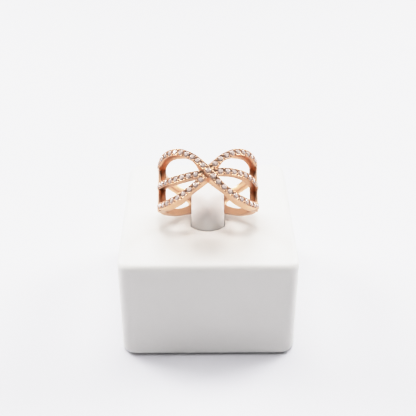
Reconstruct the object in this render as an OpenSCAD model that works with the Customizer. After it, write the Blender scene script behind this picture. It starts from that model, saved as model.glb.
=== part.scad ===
// A bow ring in rose gold, set with small round stones, on a white display block.
// Two set rails cross in front like a tied bow, a third bar runs between their loops,
// and the shank behind is split in two. The block's tongue passes through the ring and
// leans back over the shank. Millimetres, +Z up, front towards -Y, base centre at the origin.

/* [Ring] */
// Inside diameter, where the finger goes
bore_d = 17.3; // [16.5:0.1:18.5]
// Thickness of the metal at the set rails
rail_t = 1.5; // [1.3:0.05:1.7]
// Thickness of the plain shank and side walls
shank_t = 1.42; // [1.2:0.01:1.5]
// How far the ring's axis leans back from upright
ring_lean = 52.5; // [48:0.5:56]
// Front to back place of the ring's centre, from the middle of the block
ring_y = -6.2; // [-7:0.1:-5.5]
// Height of a loop's middle line above the middle of the ring, where it is fullest
bow_rise = 5.1; // [4.8:0.05:5.4]
// Half height of the plain band at the back of the shank
shank_half = 1.8; // [1.7:0.05:2]

/* [Rails and bar] */
// Width of a rail on its outer, stone-set face
rail_face = 1.36; // [1.3:0.02:1.5]
// Width of a rail on the finger side, where it is widest
rail_foot = 2; // [1.7:0.05:2.2]
// Width of the middle bar on its outer, stone-set face
bar_face = 1.4; // [1.34:0.02:1.6]
// Width of the middle bar on the finger side
bar_foot = 1.2; // [0.8:0.05:1.4]
// How far the middle bar swings, down on the left and up on the right
bar_wave = 0.58; // [0:0.02:0.7]
// How far the middle bar lies below the middle of the ring
bar_drop = 0.24; // [0:0.02:0.3]
// How far the upper rail rises, and the lower rail and bar sink, where they cross
cross_step = 0.36; // [0.2:0.02:0.45]
// Angle from the front at which the openings end at the solid side walls
gap_end = 75; // [72:1:78]

/* [Openings of the split shank] */
// Angle from the front at which each opening starts
slot_start = 101; // [98:1:106]
// Angle from the front at which each opening ends
slot_finish = 156; // [150:0.5:159]
// Width of the strands above and below each opening
strand_w = 1.4; // [1.2:0.05:1.6]

/* [Stones] */
// Diameter of one stone
stone_d = 1.12; // [1:0.02:1.16]
// Distance from stone to stone along a row
stone_pitch = 1.45; // [1.4:0.01:1.6]
// Gap all round between a stone and its seat
seat_gap = 0.025; // [0.02:0.005:0.03]
// Diameter of the hole drilled through behind each stone
hole_d = 0.5; // [0.4:0.05:0.6]

/* [Block] */
// Width of the block
block_w = 36; // [34:0.5:40]
// Depth of the block
block_d = 40; // [38:0.5:44]
// Height of the block
block_h = 23.6; // [20:0.1:28]
// Radius of the upright corners
corner_r = 3; // [2.5:0.1:4]
// Radius of the edge round the top
top_r = 1.5; // [0.8:0.1:2]
// Radius of the edge round the base
base_r = 1.2; // [0.6:0.1:1.5]

/* [Tongue] */
// Width of the tongue
tongue_w = 6.8; // [6:0.1:7.4]
// Thickness of the tongue where it leaves the block
tongue_t = 5; // [4.6:0.1:5.4]
// How far its front face bulges past its side edges
tongue_crown = 1.5; // [0.8:0.1:1.8]
// Straight length of the leaning part, before the round tip
tongue_reach = 4.6; // [3:0.1:6]
// Length of the round tip
tip_l = 2.6; // [2:0.1:3]
// Depth of the slot in the block that holds the tongue's root
slot_depth = 4; // [3:0.5:8]
// Gap all round between the tongue's root and its slot, and under the ring
rest_gap = 0.05; // [0.03:0.01:0.1]

/* [Hidden] */

bore_r = bore_d / 2;
rail_r = bore_r + rail_t;
shank_r = bore_r + shank_t;
deg = 180 / PI;

// Columns: angle from the front, height of a rail's middle line as a share of bow_rise.
RAIL_LINE = [[0, 0], [8, 0.32], [15, 0.55], [22, 0.71], [30, 0.86], [38, 0.945], [47, 0.99],
    [56, 1], [66, 0.955], [76, 0.87], [86, 0.775], [96, 0.7]];
// Columns: angle from the front, half height of the side walls and shank.
SHANK_LINE = [[72, 5.5], [83, 5.1], [90, 4.8], [103, 4.2], [115, 3.95], [127, 3.6], [137, 3.25],
    [145, 2.85], [152, 2.45], [160, 2.1], [170, shank_half], [180, shank_half]];
// Columns: angle from the front, a rail's width on the finger side as a share of rail_foot.
FOOT_LINE = [[0, 1.45], [6, 1.12], [12, 0.78], [20, 0.56], [28, 0.76], [37, 1], [96, 1]];

// Smooth curve through the rows of a table (one value for each angle), level at its ends.
function row_below(t, x) = max([0, for (i = [0:len(t) - 2]) if (t[i][0] <= x) i]);
function slope_at(t, i) = i == 0 ? (t[1][1] - t[0][1]) / (t[1][0] - t[0][0])
    : i == len(t) - 1 ? 0 : (t[i + 1][1] - t[i - 1][1]) / (t[i + 1][0] - t[i - 1][0]);
function ease(t, x) = let (i = row_below(t, x), w = t[i + 1][0] - t[i][0], u = (x - t[i][0]) / w)
    (2 * u ^ 3 - 3 * u ^ 2 + 1) * t[i][1] + (u ^ 3 - 2 * u ^ 2 + u) * w * slope_at(t, i)
    + (3 * u ^ 2 - 2 * u ^ 3) * t[i + 1][1] + (u ^ 3 - u ^ 2) * w * slope_at(t, i + 1);

// Height of each line above the middle of the ring at angle a, where side = 1 is the rail that
// stands high on the left and side = -1 its mirror image.
function rail_s(a, side) = -side * sign(a) * bow_rise * ease(RAIL_LINE, abs(a));
function bar_s(a) = bar_wave * sin(180 * a / (gap_end + 1)) - bar_drop;
function wall_s(a) = ease(SHANK_LINE, 180 - abs(180 - a));

// Outer radius at angle a: side = 1 rises over the crossing, the others sink under it, and all
// three run out into the side walls.
cross_reach = 22;
run_out = [82, 92];
end_sink = 0.1;
end_taper = 0.4;
function swell(a) = abs(a) < cross_reach ? cos(90 * a / cross_reach) ^ 2 : 0;
function run_share(a) = max(0, abs(a) - run_out[0]) / (run_out[1] - run_out[0]);
function face_r(a, side) = rail_r + (side == 1 ? 1 : -1) * cross_step * swell(a)
    - (rail_t - shank_t + end_sink) * run_share(a);

// A point of the ring in its own frame: radius, angle from the front, height along the axis.
function on_ring(r, a, s) = [r * sin(a), -r * cos(a), s];
// The same, moved sideways by h across a line that climbs at the angle g.
function beside(r, a, s, g, h) = on_ring(r, a - h * sin(g) / r * deg, s + h * cos(g));
function climb(s0, s1, a0, a1) = atan2(s1 - s0, rail_r * (a1 - a0) / deg);

// A solid through equal rings of points, closed by a cap at each end.
module loft(rings) {
    n = len(rings[0]);
    last = len(rings) - 1;
    polyhedron([for (ring = rings) each ring], [
        for (k = [1:n - 2]) [0, k, k + 1],
        for (i = [0:last - 1], k = [0:n - 1]) let (a = i * n + k, b = i * n + (k + 1) % n)
            each [[a, a + n, b], [b, a + n, b + n]],
        for (k = [1:n - 2]) [last * n, last * n + k + 1, last * n + k]
    ]);
}

// One stone-set bar along a line, with the half widths of its face and of its finger side
// measured square to the line. Its ends grow slim where they run out in the side walls.
module set_bar(line, side, face_w, foot) {
    step = 4;
    loft([for (a = [-run_out[1]:step:run_out[1]])
        let (s = line(a, side), g = climb(line(a - 1, side), line(a + 1, side), a - 1, a + 1),
            slim = (1 - end_taper * run_share(a)) / 2, f = face_w * slim, w = foot(a) * slim)
        [beside(bore_r, a, s, g, -w), beside(bore_r, a, s, g, w),
         beside(face_r(a, side), a, s, g, f), beside(face_r(a, side), a, s, g, -f)]]);
}

// Side walls and shank in one: a band whose height follows SHANK_LINE, with its edges softened
// by soft_in on the finger side and soft_out outside.
soft_in = 0.12;
soft_out = 0.2;
module plain_shank() {
    steps = 52;
    loft([for (i = [0:steps]) let (a = gap_end + (360 - 2 * gap_end) * i / steps, h = wall_s(a))
        [on_ring(bore_r, a, -h + soft_in), on_ring(bore_r, a, h - soft_in),
         on_ring(bore_r + soft_in, a, h), on_ring(shank_r - soft_out, a, h),
         on_ring(shank_r, a, h - soft_out), on_ring(shank_r, a, -h + soft_out),
         on_ring(shank_r - soft_out, a, -h), on_ring(bore_r + soft_in, a, -h)]]);
}

// What is cut from one side of the shank: a long opening with round ends, which leaves a
// strand of even width above and below it.
module shank_slot(mirror_side) {
    squareness = 3;
    stations = 18;
    narrowest = 0.3;
    past = 1;
    mid = (slot_start + slot_finish) / 2;
    half_run = (slot_finish - slot_start) / 2;
    loft([for (i = [0:stations])
        let (c = -cos(180 * i / stations), a = mirror_side * (mid + mirror_side * half_run * c),
            round_end = (1 - abs(c) ^ squareness) ^ (1 / squareness),
            h = max(narrowest, (wall_s(abs(a)) - strand_w) * round_end))
        [on_ring(bore_r - past, a, -h), on_ring(bore_r - past, a, h),
         on_ring(shank_r + past, a, h), on_ring(shank_r + past, a, -h)]]);
}

// Angle at a distance along a line, from the front's middle outwards.
function run(side, line, a) = norm([rail_r / deg, line(a + 1, side) - line(a, side)]);
function run_table(side, line) =
    [for (a = 0, d = 0; a <= 90; d = d + run(side, line, a), a = a + 1) [d, a]];

// Rows of stones. Columns: angle from the front, height along the axis, radius of the metal's face.
first_under = 2.2;
first_bar = 2.45;
rows_over = 11;
rows_under = 9;
rows_bar = 8;
over_run = run_table(1, function (a, side) rail_s(a, side));
bar_run = run_table(0, function (a, side) bar_s(a));
OVER = [for (i = [-rows_over:rows_over]) let (a = sign(i) * lookup(abs(i) * stone_pitch, over_run))
    [a, rail_s(a, 1), face_r(a, 1)]];
UNDER = [for (m = [-1, 1], i = [0:rows_under]) let (a = m * lookup(first_under + i * stone_pitch, over_run))
    [a, rail_s(a, -1), face_r(a, -1)]];
BAR = [for (m = [-1, 1], i = [0:rows_bar]) let (a = m * lookup(first_bar + i * stone_pitch, bar_run))
    [a, bar_s(a), face_r(a, 0)]];
STONES = concat(OVER, UNDER, BAR);

// A cut stone: eight facets below and eight above its girdle, and a flat table. Heights count
// from the metal's face; the girdle lies just under it.
sides = 8;
girdle_r = stone_d / 2;
table_r = 0.56 * girdle_r;
point_r = 0.02;
girdle_z = -0.06;
girdle_h = 0.03;
crown_h = 0.17;
pavilion_h = 0.46;

// Places its children on the ring's face, with +Z pointing straight out.
module at_stone(row) {
    rotate([0, 0, row[0]]) translate([0, -row[2], row[1]]) rotate([90, 0, 0]) children();
}

function stone_ring(r, z) = [for (k = [0:sides - 1]) let (b = 360 * k / sides) [r * cos(b), r * sin(b), z]];

module cut_stone() {
    crown_z = girdle_z + girdle_h;
    loft([stone_ring(point_r, girdle_z - pavilion_h), stone_ring(girdle_r, girdle_z),
        stone_ring(girdle_r, crown_z), stone_ring(table_r, crown_z + crown_h)]);
}

// The seat drilled for one stone: a straight rim, a cone under the girdle and a hole right through.
module stone_seat() {
    seat_r = girdle_r + seat_gap;
    corner_r = seat_r / cos(180 / sides);
    ledge_z = girdle_z - seat_gap;
    cone_h = (seat_r - hole_d / 2) * pavilion_h / girdle_r;
    rim_h = 1;
    hull() {
        translate([0, 0, ledge_z]) cylinder(r = corner_r, h = rim_h, $fn = sides);
        translate([0, 0, ledge_z - cone_h]) cylinder(r = hole_d / 2, h = cone_h, $fn = sides);
    }
    translate([0, 0, -2 * rail_t]) cylinder(r = hole_d / 2, h = 2 * rail_t, $fn = sides);
}

// The ring stands on the block by the lower outer edge of its shank, behind the tongue's root.
edge_drop = soft_out * cos(ring_lean);
ring_z = block_h + rest_gap + shank_r * sin(ring_lean) + shank_half * cos(ring_lean) - edge_drop;
module in_ring_place() {
    translate([0, ring_y, ring_z]) rotate([-ring_lean, 0, 0]) children();
}

module ring_band() {
    color([0.86, 0.6, 0.47]) in_ring_place() difference() {
        union() {
            plain_shank();
            for (side = [-1, 1]) set_bar(function (a, side) rail_s(a, side), side, rail_face,
                function (a) rail_foot * ease(FOOT_LINE, abs(a)));
            set_bar(function (a, side) bar_s(a), 0, bar_face, function (a) bar_foot);
        }
        for (m = [-1, 1]) shank_slot(m);
        for (row = STONES) at_stone(row) stone_seat();
    }
}

module pave_stones() {
    color([0.93, 0.95, 0.98]) in_ring_place() for (row = STONES) at_stone(row) cut_stone();
}

// The tongue: upright root, a tight bend, a leaning part along the ring's axis just clear of
// the shank, and a round tip. Each section has a bulging front and a back curved as the shank is.
back_clear = 0.15;
bend_r = 0.4;
root_step = 0.5;
shank_in_y = ring_y + bore_r * cos(ring_lean) - shank_half * sin(ring_lean);
shank_in_z = ring_z - bore_r * sin(ring_lean) - shank_half * cos(ring_lean);
root_back_y = shank_in_y - root_step;
bend_y = root_back_y + bend_r;
bend_z = shank_in_z + back_clear / sin(ring_lean) - root_step / tan(ring_lean)
    - bend_r * tan(ring_lean / 2);
front_r = (tongue_w ^ 2 / 4 + tongue_crown ^ 2) / (2 * tongue_crown);
front_arc = asin(tongue_w / 2 / front_r);
front_steps = 10;
back_r = bore_r - back_clear;
back_arc = asin(tongue_w / 2 / back_r);
back_steps = 6;
// Outline of a section: distance sideways, distance forward from the back face.
function tongue_section(grow) = [
    for (i = [0:back_steps]) let (b = back_arc * (1 - 2 * i / back_steps), r = back_r + grow)
        [r * sin(b), back_r - r * cos(b)],
    for (i = [0:front_steps]) let (b = front_arc * (2 * i / front_steps - 1), r = front_r + grow)
        [r * sin(b), tongue_t - front_r + r * cos(b)]];
// The section turned about the bend's centre, moved by up along the leaning part.
function tongue_ring(tilt, up, wide, thick) = [for (p = tongue_section(0))
    let (f = bend_r + tongue_t / 2 + (p[1] - tongue_t / 2) * thick)
    [p[0] * wide, bend_y + up * sin(tilt) - f * cos(tilt), bend_z + up * cos(tilt) + f * sin(tilt)]];

module block_tongue() {
    bend_steps = 6;
    tip_steps = 5;
    tip_turn = 85;
    tip_narrow = 0.55;
    tip_thin = 0.6;
    color([0.95, 0.94, 0.93]) loft(concat(
        [tongue_ring(0, block_h - slot_depth + rest_gap - bend_z, 1, 1)],
        [for (i = [0:bend_steps]) tongue_ring(ring_lean * i / bend_steps, 0, 1, 1)],
        [for (i = [0:tip_steps]) let (turn = tip_turn * i / tip_steps, shrink = 1 - cos(turn))
            tongue_ring(ring_lean, tongue_reach + tip_l * sin(turn), 1 - tip_narrow * shrink,
                1 - tip_thin * shrink)]));
}

// The block: one hull of four corner posts with round top and base edges, slotted for the tongue.
module corner_post() {
    steps = 4;
    rotate_extrude($fn = 32) polygon(concat(
        [[0, 0]],
        [for (i = [0:steps]) let (b = 90 * i / steps)
            [corner_r - base_r * (1 - sin(b)), base_r * (1 - cos(b))]],
        [for (i = [0:steps]) let (b = 90 * i / steps)
            [corner_r - top_r * (1 - cos(b)), block_h - top_r * (1 - sin(b))]],
        [[0, block_h]]));
}

module display_block() {
    color([0.94, 0.93, 0.92]) difference() {
        hull() for (x = [-1, 1], y = [-1, 1])
            translate([x * (block_w / 2 - corner_r), y * (block_d / 2 - corner_r), 0]) corner_post();
        translate([0, root_back_y, block_h - slot_depth]) linear_extrude(slot_depth + 1)
            polygon([for (p = tongue_section(rest_gap)) [p[0], -p[1]]]);
    }
}

display_block();
block_tongue();
ring_band();
pave_stones();
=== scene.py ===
# A bow ring in rose gold, set with small round stones, on its white display block.
import math

import bmesh
import bpy
from mathutils import Matrix, Vector


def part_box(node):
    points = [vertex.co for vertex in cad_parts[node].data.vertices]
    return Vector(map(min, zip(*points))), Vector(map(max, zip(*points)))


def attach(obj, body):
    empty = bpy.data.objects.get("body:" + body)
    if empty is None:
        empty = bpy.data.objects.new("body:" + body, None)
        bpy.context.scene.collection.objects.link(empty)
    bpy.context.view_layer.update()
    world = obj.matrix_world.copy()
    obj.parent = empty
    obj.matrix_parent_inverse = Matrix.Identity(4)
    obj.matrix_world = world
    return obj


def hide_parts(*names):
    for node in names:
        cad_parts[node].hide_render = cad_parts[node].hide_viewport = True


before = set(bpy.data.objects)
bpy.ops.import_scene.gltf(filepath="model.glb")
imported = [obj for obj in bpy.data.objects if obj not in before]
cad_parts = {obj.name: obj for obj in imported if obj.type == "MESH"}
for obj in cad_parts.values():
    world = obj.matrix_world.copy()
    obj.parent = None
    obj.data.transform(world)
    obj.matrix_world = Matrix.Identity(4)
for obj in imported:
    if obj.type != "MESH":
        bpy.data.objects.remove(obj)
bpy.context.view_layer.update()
mm = 0.001
scene = bpy.context.scene

# The view: a long lens looks down on the block from the front, a little to the left of its
# middle. The photograph is square.
lens_place = Vector((-1.22, -142.78, 118.08)) * mm
look_down, look_right = math.radians(33.36), math.radians(0.53)
camera_data = bpy.data.cameras.new("photo_camera")
camera_data.sensor_width = 36
camera_data.lens = 69.1
camera_data.clip_start = 10 * mm
camera = bpy.data.objects.new("photo_camera", camera_data)
camera.location = lens_place
camera.rotation_euler = (math.radians(90) - look_down, 0, -look_right)
scene.collection.objects.link(camera)
scene.camera = camera

# Display block: a squared block of board wrapped in smooth white leatherette. The wrap is pulled
# tight, so its corners and edges are evenly round, and its grain is very fine. It is turned under
# the base and covered there by a glued card, which lifts it a little off the table.
block_low, block_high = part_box("display_block")
corner_round, top_round, base_round = 3 * mm, 1.5 * mm, 1.2 * mm
card_t, card_inset = 0.35 * mm, 1.3 * mm
# Corners this close to a level lie on it.
near = 0.01 * mm


def link(tree, output, node, socket):
    tree.links.new(output, node.inputs[socket])


def leather_grain():
    """What every leatherette wrap has: a slow drift of tint and shine, and very fine pores."""
    group = bpy.data.node_groups.new("leather_grain", "ShaderNodeTree")
    sockets = (("Deep", "INPUT", "NodeSocketColor"), ("Pale", "INPUT", "NodeSocketColor"),
               ("Color", "OUTPUT", "NodeSocketColor"), ("Roughness", "OUTPUT", "NodeSocketFloat"),
               ("Normal", "OUTPUT", "NodeSocketVector"))
    for name, way, kind in sockets:
        group.interface.new_socket(name, in_out=way, socket_type=kind)
    nodes = group.nodes
    given = nodes.new("NodeGroupInput")
    out = nodes.new("NodeGroupOutput")
    place = nodes.new("ShaderNodeTexCoord")
    cloud = nodes.new("ShaderNodeTexNoise")
    cloud.inputs["Scale"].default_value = 60
    cloud.inputs["Detail"].default_value = 4
    tint = nodes.new("ShaderNodeMix")
    tint.data_type = "RGBA"
    pores = nodes.new("ShaderNodeTexVoronoi")
    pores.feature = "DISTANCE_TO_EDGE"
    pores.inputs["Scale"].default_value = 2600
    rough = nodes.new("ShaderNodeMapRange")
    rough.inputs["To Min"].default_value = 0.36
    rough.inputs["To Max"].default_value = 0.46
    bump = nodes.new("ShaderNodeBump")
    bump.inputs["Strength"].default_value = 0.12
    bump.inputs["Distance"].default_value = 0.03 * mm
    for texture in (cloud, pores):
        link(group, place.outputs["Object"], texture, "Vector")
    link(group, cloud.outputs["Fac"], tint, "Factor")
    link(group, given.outputs["Deep"], tint, "A")
    link(group, given.outputs["Pale"], tint, "B")
    link(group, cloud.outputs["Fac"], rough, "Value")
    link(group, pores.outputs["Distance"], bump, "Height")
    link(group, tint.outputs["Result"], out, "Color")
    link(group, rough.outputs["Result"], out, "Roughness")
    link(group, bump.outputs["Normal"], out, "Normal")
    return group


def leatherette(name, deep, pale):
    """Smooth coated fabric, its tint between deep and pale."""
    made = bpy.data.materials.new(name)
    made.use_nodes = True
    skin = made.node_tree.nodes["Principled BSDF"]
    skin.inputs["Specular IOR Level"].default_value = 0.5
    skin.inputs["Sheen Weight"].default_value = 0.15
    skin.inputs["Sheen Roughness"].default_value = 0.5
    wrap = made.node_tree.nodes.new("ShaderNodeGroup")
    wrap.node_tree = grain
    wrap.inputs["Deep"].default_value = deep
    wrap.inputs["Pale"].default_value = pale
    link(made.node_tree, wrap.outputs["Color"], skin, "Base Color")
    link(made.node_tree, wrap.outputs["Roughness"], skin, "Roughness")
    link(made.node_tree, wrap.outputs["Normal"], skin, "Normal")
    return made


def grey_card():
    made = bpy.data.materials.new("grey_card")
    made.use_nodes = True
    tree = made.node_tree
    board = tree.nodes["Principled BSDF"]
    board.inputs["Roughness"].default_value = 0.9
    place = tree.nodes.new("ShaderNodeTexCoord")
    fibres = tree.nodes.new("ShaderNodeTexNoise")
    fibres.inputs["Scale"].default_value = 900
    fibres.inputs["Detail"].default_value = 6
    tint = tree.nodes.new("ShaderNodeMix")
    tint.data_type = "RGBA"
    tint.inputs["A"].default_value = (0.16, 0.155, 0.15, 1)
    tint.inputs["B"].default_value = (0.24, 0.235, 0.23, 1)
    link(tree, place.outputs["Object"], fibres, "Vector")
    link(tree, fibres.outputs["Fac"], tint, "Factor")
    link(tree, tint.outputs["Result"], board, "Base Color")
    return made


def to_mesh(bm, name):
    """The mesh of a closed shape, with its faces pointing outwards."""
    bmesh.ops.recalc_face_normals(bm, faces=bm.faces)
    if bm.calc_volume(signed=True) < 0:
        bmesh.ops.reverse_faces(bm, faces=bm.faces)
    mesh = bpy.data.meshes.new(name)
    bm.to_mesh(mesh)
    bm.free()
    return mesh


def shade(mesh, crease):
    """Shades a mesh smooth but for edges sharper than crease degrees."""
    mesh.shade_smooth()
    mesh.set_sharp_from_angle(angle=math.radians(crease))


def finished(name, bm, material, crease=40):
    """A shown object with the shape in bm."""
    mesh = to_mesh(bm, name)
    mesh.materials.append(material)
    shade(mesh, crease)
    obj = bpy.data.objects.new(name, mesh)
    scene.collection.objects.link(obj)
    return obj


def round_edges(bm, edges, radius, segments):
    bmesh.ops.bevel(bm, geom=edges, offset=radius, segments=segments, profile=0.5, affect="EDGES",
                    material=-1)


def running(bm, axis):
    """The edges that go more than a millimetre along an axis: 0 is X, 1 is Y and 2 is Z."""
    return [e for e in bm.edges if abs(e.verts[0].co[axis] - e.verts[1].co[axis]) > mm]


def brick(low, high):
    """A box between two corners."""
    bm = bmesh.new()
    bmesh.ops.create_cube(bm, size=1)
    bmesh.ops.scale(bm, vec=high - low, verts=bm.verts)
    bmesh.ops.translate(bm, vec=(low + high) / 2, verts=bm.verts)
    return bm


wrap_low = block_low + Vector((0, 0, card_t))
bm = brick(wrap_low, block_high)
round_edges(bm, running(bm, 2), corner_round, 12)
for level, radius in ((block_high.z, top_round), (wrap_low.z, base_round)):
    rim = [e for e in bm.edges if all(abs(v.co.z - level) < near for v in e.verts)]
    round_edges(bm, rim, radius, 8)
grain = leather_grain()
block_wrap = leatherette("block_wrap", (0.79, 0.77, 0.74, 1), (0.83, 0.815, 0.785, 1))
block = finished("leatherette_block", bm, block_wrap)
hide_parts("display_block")
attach(block, "root")
inset = Vector((card_inset, card_inset, 0))
bm = brick(block_low + inset, Vector((*block_high.xy, wrap_low.z)) - inset)
round_edges(bm, [e for e in bm.edges if e.calc_length() < mm], corner_round - card_inset, 8)
card = finished("base_card", bm, grey_card())
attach(card, "root")

# Tongue: a stiff strip padded to a D section and wrapped in the same leatherette made whiter, partly
# its own paler tone and partly painted light for the shade the ring casts on it.
# Its root is pushed into a slot in the block, whose edge shows round it as a thin line; it bends
# back at the ring's shank and lies over it.
tongue_low, tongue_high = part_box("block_tongue")
tongue_w, tongue_t = tongue_high.x - tongue_low.x, 5 * mm
tongue_crown, edge_soft = 1.5 * mm, 0.35 * mm
back_curve = 8.5 * mm
ring_lean = math.radians(52.5)
bend_r, bend_lift = 0.4 * mm, 0.66 * mm
tongue_reach, tip_l = 4.6 * mm, 2.6 * mm
# How far round its curve the tip ends, and the shares of width and thickness that such a curve
# takes away by a right angle.
tip_turn, tip_narrower, tip_thinner = math.radians(88), 0.5, 0.6
bend_y = tongue_low.y + tongue_t + bend_r
bend_z = block_high.z + bend_lift
root_l = bend_z - tongue_low.z
slot_gap = 0.16 * mm


def tongue_place(p):
    """Where a point of the flat strip goes: x across, y back to front, z from root to tip."""
    half = tongue_w / 2
    back = back_curve - math.sqrt(back_curve ** 2 - p.x ** 2)
    front = tongue_t - tongue_crown * min(1, (p.x / half) ** 2)
    deep = back + (front - back) * p.y / tongue_t
    bend_l = ring_lean * (bend_r + tongue_t / 2)
    up = p.z - root_l
    tilt = ring_lean * min(1, max(0, up / bend_l))
    lean_l = max(0, up - bend_l)
    turn = math.asin(min(1, max(0, (lean_l - tongue_reach) / tip_l)) * math.sin(tip_turn))
    narrow = 1 - tip_narrower * (1 - math.cos(turn))
    thin = 1 - tip_thinner * (1 - math.cos(turn))
    reach = bend_r + tongue_t / 2 + (deep - tongue_t / 2) * thin
    return Vector((
        p.x * narrow,
        bend_y + lean_l * math.sin(tilt) - reach * math.cos(tilt),
        bend_z + min(0, up) + lean_l * math.cos(tilt) + reach * math.sin(tilt)))


def bent_strip(length, spare, cuts):
    """The strip up to a length from its root's end, in place, spare wider all round."""
    bm = bmesh.new()
    bmesh.ops.create_cube(bm, size=1)
    bmesh.ops.scale(bm, vec=(tongue_w + 2 * spare, tongue_t + 2 * spare, length), verts=bm.verts)
    bmesh.ops.translate(bm, vec=(0, tongue_t / 2, length / 2), verts=bm.verts)
    bmesh.ops.subdivide_edges(bm, edges=running(bm, 0), cuts=15, use_grid_fill=True)
    round_edges(bm, [e for e in running(bm, 2) if e.calc_face_angle(0) > 1], edge_soft + spare, 4)
    bmesh.ops.subdivide_edges(bm, edges=running(bm, 2), cuts=cuts, use_grid_fill=True)
    for v in bm.verts:
        v.co = tongue_place(v.co)
    return bm


def fuse(body, bm, operation):
    """body joined with, or cut by, the solid in bm."""
    tool = bpy.data.objects.new("tool", to_mesh(bm, "tool"))
    scene.collection.objects.link(tool)
    step = body.modifiers.new("step", "BOOLEAN")
    step.operation, step.solver, step.object = operation, "EXACT", tool
    bpy.context.view_layer.update()
    result = bpy.data.meshes.new_from_object(body.evaluated_get(bpy.context.evaluated_depsgraph_get()))
    body.modifiers.clear()
    body.data = result
    bpy.data.objects.remove(tool)


# What cuts the slot ends between the block's top and the bend.
slot_l = root_l - bend_lift / 3
fuse(block, bent_strip(slot_l, slot_gap, 1), "DIFFERENCE")
shade(block.data, 40)
strip_l = root_l + ring_lean * (bend_r + tongue_t / 2) + tongue_reach + tip_l
# The tongue's tint is whiter than the block's: partly its own paler wrap, partly painted light that
# makes up for the ring's shade on it.
tongue_wrap_painted_lighter = leatherette("tongue_wrap_painted_lighter", (0.93, 0.91, 0.89, 1), (0.96, 0.945, 0.93, 1))
tongue = finished("leatherette_tongue", bent_strip(strip_l, 0, 47), tongue_wrap_painted_lighter)
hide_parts("block_tongue")
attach(tongue, "root")

# Ring metal: rose gold, cast and polished in one piece. Two rails cross in front like a tied bow,
# a middle bar joins their loops, and the shank behind is pierced on each side.
bore_r, rail_r, shank_r = 8.65 * mm, 10.15 * mm, 10.07 * mm
centre_y, centre_lift = -6.2 * mm, 9.013 * mm
ring_place = (Matrix.Translation((0, centre_y, block_high.z + centre_lift))
              @ Matrix.Rotation(-ring_lean, 4, "X"))
bow_rise, rail_face, rail_foot = 5.1 * mm, 1.36 * mm, 2 * mm
bar_face, bar_foot, bar_wave, bar_drop = 1.4 * mm, 1.2 * mm, 0.58 * mm, 0.24 * mm
# Angles are in degrees from the front. Past taper_start a bar sinks and narrows a little with
# each degree, until it is lost in the wall.
cross_step, cross_reach = 0.36 * mm, 22
taper_start, sink_by, narrow_by, bar_end = 82, 0.018 * mm, 0.04, 92
face_soft, foot_soft, wall_soft = 0.06 * mm, 0.12 * mm, 0.2 * mm
trough_rim, trough_deep = 0.03 * mm, 0.14 * mm
# Where the side walls start, their height while they are still a flat bar.
wall_start, wall_flat = 75, 10 * mm
# The groove in each end of the wall: its rims, a step inside them, its width at the bottom with
# those steps, its depth.
end_rim, end_step, end_foot, end_deep = 0.2 * mm, 0.05 * mm, 0.3 * mm, 0.92 * mm
strand_w, slot_start, slot_finish, slot_lip = 1.4 * mm, 101, 156, 0.12 * mm
# Angle from the front, height of a rail's middle line as a share of bow_rise.
rail_line = ((0, 0), (8, 0.32), (15, 0.55), (22, 0.71), (30, 0.86), (38, 0.945), (47, 0.99),
             (56, 1), (66, 0.955), (76, 0.87), (86, 0.775), (96, 0.7))
# Angle from the front, width of a rail on the finger side as a share of rail_foot.
foot_line = ((0, 1.45), (6, 1.12), (12, 0.78), (20, 0.56), (28, 0.76), (37, 1), (96, 1))
# Angle from the front, half height of the side walls and shank in millimetres.
shank_line = ((72, 5.5), (83, 5.1), (90, 4.8), (103, 4.2), (115, 3.95), (127, 3.6), (137, 3.25),
              (145, 2.85), (152, 2.45), (160, 2.1), (170, 1.8), (180, 1.8))


def ease(table, x):
    """The smooth curve through a table's rows, at x."""
    def slope(i):
        if i == len(table) - 1:
            return 0
        low = max(0, i - 1)
        return (table[i + 1][1] - table[low][1]) / (table[i + 1][0] - table[low][0])
    x = min(x, table[-1][0])
    i = max(k for k in range(len(table) - 1) if k == 0 or table[k][0] <= x)
    w = table[i + 1][0] - table[i][0]
    u = (x - table[i][0]) / w
    return ((2 * u ** 3 - 3 * u ** 2 + 1) * table[i][1] + (u ** 3 - 2 * u ** 2 + u) * w * slope(i)
            + (3 * u ** 2 - 2 * u ** 3) * table[i + 1][1] + (u ** 3 - u ** 2) * w * slope(i + 1))


def over_rail(a):
    return -math.copysign(bow_rise * ease(rail_line, abs(a)), a)


def under_rail(a):
    return -over_rail(a)


def middle_bar(a):
    return bar_wave * math.sin(math.radians(180 * a / (wall_start + 1))) - bar_drop


def wall_half(a):
    return mm * ease(shank_line, 180 - abs(180 - a))


def face_radius(line, a):
    """Outer radius of a bar: the over rail rises where they cross, the others sink under it."""
    swell = math.cos(math.radians(90 * a / cross_reach)) ** 2 if abs(a) < cross_reach else 0
    sink = sink_by * max(0, abs(a) - taper_start)
    return rail_r + cross_step * swell * (1 if line is over_rail else -1) - sink


def climb(line, a):
    """Angle at which a line climbs across the ring, from the ring's own plane."""
    return math.atan2(line(a + 1) - line(a - 1), rail_r * math.radians(2))


def on_ring(r, a, s):
    """The point at radius r, angle a in degrees from the front and height s along the axis."""
    return ring_place @ Vector((r * math.sin(math.radians(a)), -r * math.cos(math.radians(a)), s))


def flat_bar(width, depth, length):
    """A straight bar along X with its face at z = 0."""
    return brick(Vector((-length, -width, -2 * depth)) / 2, Vector((length, width, 0)) / 2)


def soften(bar, face_round, foot_round):
    """Rounds the long edges of a bar's face, at z = 0, and of its foot, over 1 mm below."""
    face_edges = [e for e in running(bar, 0) if e.verts[0].co.z > -near]
    round_edges(bar, face_edges, face_round, 3)
    foot_edges = [e for e in running(bar, 0) if e.verts[0].co.z < -mm]
    round_edges(bar, foot_edges, foot_round, 3)


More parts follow.
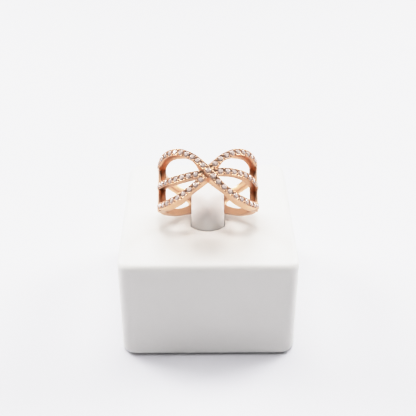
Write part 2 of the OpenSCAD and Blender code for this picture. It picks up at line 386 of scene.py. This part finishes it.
def bent_bar(line, width, foot):
    """A stone-set bar, bent round the ring along its line, with a trough sunk in its face."""
    depth, length = rail_r - bore_r, 2 * rail_r * math.radians(bar_end)
    bar = flat_bar(width, depth, length)
    soften(bar, face_soft, foot_soft)
    face = max(bar.faces, key=lambda f: f.calc_center_median().z)
    bmesh.ops.inset_region(bar, faces=[face], thickness=trough_rim)
    inner = max(v.co.y for v in face.verts)
    crosswise = [e for e in face.edges if e.calc_length() < width]
    bmesh.ops.subdivide_edges(bar, edges=crosswise, cuts=5, use_grid_fill=True)
    bmesh.ops.subdivide_edges(bar, edges=running(bar, 0), cuts=bar_end - 1, use_grid_fill=True)
    for v in bar.verts:
        a = math.degrees(v.co.x / rail_r)
        share = -v.co.z / depth
        slim = 1 - narrow_by * max(0, abs(a) - taper_start)
        h = v.co.y * slim * (1 - share + share * foot(a) / width)
        r = bore_r + (face_radius(line, a) - bore_r) * (1 - share)
        if share < 0.001 and abs(v.co.y) < inner:
            r -= trough_deep * math.sqrt(1 - (v.co.y / inner) ** 2)
        g = climb(line, a)
        v.co = on_ring(r, a - math.degrees(h * math.sin(g) / r), line(a) + h * math.cos(g))
    return bar


def bent_wall():
    """The side walls and shank, a bar bent round the back whose height changes on the way. Its two
    ends, which show between the bars, have a groove, deepest near the outside."""
    depth, length = shank_r - bore_r, shank_r * math.radians(360 - 2 * wall_start)
    wall = flat_bar(wall_flat, depth, length)
    for side in (-1, 1):
        end = max(wall.faces, key=lambda f: side * f.calc_center_median().x)
        for rim in (end_rim, end_step):
            bmesh.ops.inset_region(wall, faces=[end], thickness=rim)
        bmesh.ops.translate(wall, vec=(-side * end_deep, 0, 0), verts=end.verts)
        inner = [v for v in end.verts if v.co.z < -depth / 2]
        bmesh.ops.translate(wall, vec=(0, 0, depth - 2 * end_rim - end_foot), verts=inner)
    soften(wall, wall_soft, foot_soft)
    degrees = 360 - 2 * wall_start
    bmesh.ops.subdivide_edges(wall, edges=running(wall, 0), cuts=degrees - 1, use_grid_fill=True)
    for v in wall.verts:
        a = 180 + math.degrees(v.co.x / shank_r)
        h = wall_half(a)
        s = v.co.y + math.copysign(1, v.co.y) * (h - wall_flat / 2)
        v.co = on_ring(shank_r + v.co.z, a, s)
    return wall


def turned(bm, profile, steps):
    """Adds what a lathe makes of a line of (radius, height) points."""
    points = [bm.verts.new((radius, 0, height)) for radius, height in profile]
    edges = [bm.edges.new(pair) for pair in zip(points, points[1:])]
    bmesh.ops.spin(bm, geom=points + edges, cent=(0, 0, 0), axis=(0, 0, 1), angle=2 * math.pi,
                   steps=steps, use_merge=True)
    bmesh.ops.remove_doubles(bm, verts=bm.verts, dist=near / 10)


def slot_cutter(side):
    """What pierces one side of the shank: a long opening with round ends and soft lips."""
    middle, half = (slot_start + slot_finish) / 2, (slot_finish - slot_start) / 2
    # A power under 1 makes a circle blunter, between a round and an oblong.
    blunt = 2 / 3
    # Share of the way through the wall, how far the lip flares there.
    layers = ((-0.45, 1), (0, 1), (0.02, 0.5), (0.09, 0), (0.91, 0), (0.98, 0.5), (1, 1), (1.45, 1))
    cutter = bmesh.new()
    turned(cutter, [(0, 0)] + [(1, k) for k in range(len(layers))] + [(0, len(layers) - 1)], 72)
    for v in cutter.verts:
        through, flare = layers[round(v.co.z)]
        c, s = v.co.x, v.co.y
        lip = slot_lip * flare
        a = middle + (half + math.degrees(lip / shank_r)) * math.copysign(abs(c) ** blunt, c)
        h = (max(0, wall_half(a) - strand_w) + lip) * math.copysign(abs(s) ** blunt, s)
        v.co = on_ring(bore_r + through * (shank_r - bore_r), side * a, h)
    return cutter


def rose_gold():
    made = bpy.data.materials.new("rose_gold")
    made.use_nodes = True
    tree = made.node_tree
    nodes = tree.nodes
    metal = nodes["Principled BSDF"]
    metal.inputs["Metallic"].default_value = 1
    place = nodes.new("ShaderNodeTexCoord")
    cloud = nodes.new("ShaderNodeTexNoise")
    cloud.inputs["Scale"].default_value = 400
    cloud.inputs["Detail"].default_value = 3
    tint = nodes.new("ShaderNodeMix")
    tint.data_type = "RGBA"
    tint.inputs["A"].default_value = (0.72, 0.44, 0.27, 1)
    tint.inputs["B"].default_value = (0.8, 0.51, 0.37, 1)
    hairlines = nodes.new("ShaderNodeTexNoise")
    hairlines.inputs["Scale"].default_value = 2500
    hairlines.inputs["Detail"].default_value = 2
    rough = nodes.new("ShaderNodeMapRange")
    rough.inputs["To Min"].default_value = 0.24
    rough.inputs["To Max"].default_value = 0.38
    hand_polish = nodes.new("ShaderNodeBump")
    hand_polish.inputs["Strength"].default_value = 0.25
    hand_polish.inputs["Distance"].default_value = 0.02 * mm
    for texture in (cloud, hairlines):
        link(tree, place.outputs["Object"], texture, "Vector")
    link(tree, cloud.outputs["Fac"], tint, "Factor")
    link(tree, tint.outputs["Result"], metal, "Base Color")
    link(tree, hairlines.outputs["Fac"], rough, "Value")
    link(tree, rough.outputs["Result"], metal, "Roughness")
    link(tree, cloud.outputs["Fac"], hand_polish, "Height")
    link(tree, hand_polish.outputs["Normal"], metal, "Normal")
    return made


def rail_foot_at(a):
    """Width of a rail on the finger side."""
    return rail_foot * ease(foot_line, abs(a))


rose = rose_gold()
ring = finished("bow_metal", bent_wall(), rose)
fuse(ring, bent_bar(over_rail, rail_face, rail_foot_at), "UNION")
fuse(ring, bent_bar(under_rail, rail_face, rail_foot_at), "UNION")
fuse(ring, bent_bar(middle_bar, bar_face, lambda a: bar_foot), "UNION")
for side in (-1, 1):
    fuse(ring, slot_cutter(side), "DIFFERENCE")

# Seats: each stone's place is drilled from the face, a straight rim, a cone and a small hole
# right through to the finger side, so that light comes in behind the stone.
stone_r, stone_pitch, girdle_z = 0.56 * mm, 1.45 * mm, -0.06 * mm
seat_gap, seat_top = 0.025 * mm, 0.6 * mm
cone_foot, hole_r, hole_foot = -0.42 * mm, 0.25 * mm, -2.6 * mm


def along_line(line, distance):
    """Angle at a distance along a bar's line from the front's middle; the far end has a sign."""
    run = a = 0
    while True:
        step = math.hypot(rail_r * math.radians(1), line(a + 1) - line(a))
        if run + step >= abs(distance):
            return math.copysign(a + (abs(distance) - run) / step, distance)
        run, a = run + step, a + 1


def row_place(line, distance):
    """The frame of a point on a bar's face: X along the bar, Y across it, Z straight out."""
    a = along_line(line, distance)
    out_to_face = Matrix.Translation((0, -face_radius(line, a), line(a)))
    upright = Matrix.Rotation(math.radians(a), 4, "Z") @ out_to_face
    facing = Matrix.Rotation(math.pi / 2, 4, "X") @ Matrix.Rotation(climb(line, a), 4, "Z")
    return ring_place @ upright @ facing


# Line, distance of the first stone from the front's middle, stones on each side of it. A row that
# starts in the middle has one stone there for both sides.
rows = ((over_rail, 0, 12), (under_rail, 2.2 * mm, 10), (middle_bar, 2.45 * mm, 9))
stone_places = [(line, m * (first + i * stone_pitch)) for line, first, count in rows for m in (-1, 1)
                for i in range(count) if first or i or m > 0]


def copies(make, places):
    """One bmesh with a piece made by make() at each of the places."""
    many, mesh = bmesh.new(), bpy.data.meshes.new("single")
    for place in places:
        single = bmesh.new()
        make(single)
        single.transform(place)
        single.to_mesh(mesh)
        single.free()
        many.from_mesh(mesh)
    bpy.data.meshes.remove(mesh)
    return many


def add_seat(bm):
    seat_r = stone_r + seat_gap
    turned(bm, ((0, seat_top), (seat_r, seat_top), (seat_r, girdle_z - seat_gap), (hole_r, cone_foot),
                (hole_r, hole_foot), (0, hole_foot)), 20)


# Each stone is turned further than the one before it, so that neighbours don't flash alike.
turn_by = 2.4
places = [row_place(line, distance) @ Matrix.Rotation(turn_by * i, 4, "Z")
          for i, (line, distance) in enumerate(stone_places)]
fuse(ring, copies(add_seat, places), "DIFFERENCE")
shade(ring.data, 35)
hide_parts("ring_band")
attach(ring, "root")

# Beads: small grains of the same gold, raised between neighbouring stones on both sides of the
# row and pushed over their edges to hold them.
bead_side, bead_size = 0.39 * mm, Vector((0.24, 0.19, 0.2)) * mm


def add_beads(bm):
    for side in (-1, 1):
        spot = Matrix.Translation((0, side * bead_side, 0)) @ Matrix.Diagonal((*bead_size, 1))
        bmesh.ops.create_icosphere(bm, subdivisions=2, radius=1, matrix=spot)


between = []
for line, first, count in rows:
    for m in (-1, 1):
        gaps = [first + (i + 0.5) * stone_pitch for i in range(count - 1)]
        # A row that starts beside the middle also has beads before its first stone.
        gaps += [first - stone_pitch / 2] if first else []
        between += [row_place(line, m * d) for d in gaps]
beads = finished("gold_beads", copies(add_beads, between), rose)
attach(beads, "root")

# Stones: colourless round brilliants a little over a millimetre across, each cut with a table,
# crown facets and pavilion facets that come to a point. They sit in the seats under the beads.
table_r, star_r, waist_r, point_r = 0.56 * stone_r, 0.8 * stone_r, 0.45 * stone_r, 0.03 * stone_r
girdle_t, crown_h, pavilion_h = 0.03 * mm, 0.17 * mm, 0.46 * mm


def add_stone(bm):
    """The hull of six rings of corners, from the table down to the point."""
    rim_z = girdle_z + girdle_t
    # Radius, height over the face, corners, share of a facet that the ring is turned by.
    rings = ((table_r, rim_z + crown_h, 8, 0), (star_r, rim_z + 0.62 * crown_h, 8, 0.5),
             (stone_r, rim_z, 16, 0), (stone_r, girdle_z, 16, 0),
             (waist_r, girdle_z - 0.56 * pavilion_h, 8, 0.5), (point_r, girdle_z - pavilion_h, 8, 0))
    made = []
    for radius, height, corners, turn in rings:
        spin = Matrix.Rotation(2 * math.pi * turn / corners, 4, "Z")
        level = Matrix.Translation((0, 0, height)) @ spin
        made += bmesh.ops.create_circle(bm, radius=radius, segments=corners, matrix=level)["verts"]
    bmesh.ops.delete(bm, geom=list({e for v in made for e in v.link_edges}), context="EDGES_FACES")
    bmesh.ops.convex_hull(bm, input=[v for v in made if v.is_valid])
    # Painted sparkle: the table is given the palest colour and the other facets, by turns, colours
    # nearer a dark gold tint, standing in for the light a cut stone throws back and the gold it
    # reflects.
    painted_glint = bm.faces.layers.float.new("painted_glint")
    for i, face in enumerate(bm.faces):
        is_table = face.calc_center_median().z > rim_z + 0.95 * crown_h
        face[painted_glint] = 1 if is_table else 0.8 * (0.618 * i % 1)


def cut_stone():
    made = bpy.data.materials.new("clear_stone")
    made.use_nodes = True
    tree = made.node_tree
    nodes = tree.nodes
    stone = nodes["Principled BSDF"]
    stone.inputs["Metallic"].default_value = 0.1
    stone.inputs["Roughness"].default_value = 0.02
    stone.inputs["IOR"].default_value = 1.9
    stone.inputs["Transmission Weight"].default_value = 0.38
    facet = nodes.new("ShaderNodeAttribute")
    facet.attribute_name = "painted_glint"
    # Painted sparkle and reflection: each facet's colour runs from a dark gold tint to pale pink by
    # the value the facet carries.
    tint = nodes.new("ShaderNodeMix")
    tint.data_type = "RGBA"
    tint.inputs["A"].default_value = (0.6, 0.37, 0.29, 1)
    tint.inputs["B"].default_value = (1, 0.87, 0.81, 1)
    link(tree, facet.outputs["Fac"], tint, "Factor")
    link(tree, tint.outputs["Result"], stone, "Base Color")
    return made


stones = finished("cut_stones", copies(add_stone, places), cut_stone(), crease=1)
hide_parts("pave_stones")
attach(stones, "root")

# Floor: the plain pale sheet that the block stands on, matt and without a pattern, wide enough to
# fill the view.
floor_half = 3
bm = bmesh.new()
bmesh.ops.create_grid(bm, x_segments=1, y_segments=1, size=floor_half)
pale = bpy.data.materials.new("pale_floor")
pale.use_nodes = True
sheet = pale.node_tree.nodes["Principled BSDF"]
sheet.inputs["Base Color"].default_value = (0.735, 0.73, 0.765, 1)
sheet.inputs["Roughness"].default_value = 0.7
floor = finished("pale_floor", bm, pale)

# Light: a dim white room, darkest where the camera stands, a wide soft panel overhead, one more on
# each side behind the ring, and a small lamp, which draws the ring's faint shadow on the block.
room = bpy.data.worlds.new("room")
room.use_nodes = True
tree = room.node_tree
nodes = tree.nodes
nodes["Background"].inputs["Color"].default_value = (1, 1, 1, 1)
toward = nodes.new("ShaderNodeTexCoord")
axes = nodes.new("ShaderNodeSeparateXYZ")
backward = nodes.new("ShaderNodeMapRange")
backward.inputs["From Min"].default_value = -0.7
backward.inputs["From Max"].default_value = 0.2
backward.inputs["To Min"].default_value = 0.08
backward.inputs["To Max"].default_value = 0.25
link(tree, toward.outputs["Generated"], axes, "Vector")
link(tree, axes.outputs["Y"], backward, "Value")
link(tree, backward.outputs["Result"], nodes["Background"], "Strength")
scene.world = room
light_distance = 0.5
# Degrees to the right and to the front of straight up, size, power.
lights = (("top_panel", 0, -6, 0.36, 3.5), ("left_panel", -55, -25, 0.25, 3.7),
          ("right_panel", 55, -25, 0.25, 3.7), ("small_lamp", 0, 25, 0.06, 1.4))
for name, aside, lean, size, power in lights:
    light = bpy.data.lights.new(name, "AREA")
    light.size = size
    light.energy = power
    lamp = bpy.data.objects.new(name, light)
    turn = Matrix.Rotation(math.radians(aside), 4, "Y") @ Matrix.Rotation(math.radians(lean), 4, "X")
    lamp.location = Vector((0, 0, block_high.z)) + turn @ Vector((0, 0, light_distance))
    lamp.rotation_euler = turn.to_euler()
    scene.collection.objects.link(lamp)
# The last of them, the small lamp, isn't seen in the polish of the gold and the stones.
lamp.visible_glossy = False
# The camera's response: bright tones are held back, so that white stays just below clear.
film = scene.view_settings
film.view_transform = "Standard"
film.use_curve_mapping = True
film.curve_mapping.white_level = (3, 3, 3)
response = film.curve_mapping.curves[3]
# A third of the light that comes in, what is shown of it.
shown_light = ((0.1, 0.18), (0.2, 0.358), (0.3, 0.526), (0.4, 0.67), (0.5, 0.775), (0.6, 0.845),
               (0.7, 0.885), (0.8, 0.907))
for third, shown in shown_light:
    response.points.new(third, shown).handle_type = "AUTO_CLAMPED"
response.points[-1].location = (1, 0.93)
film.curve_mapping.update()
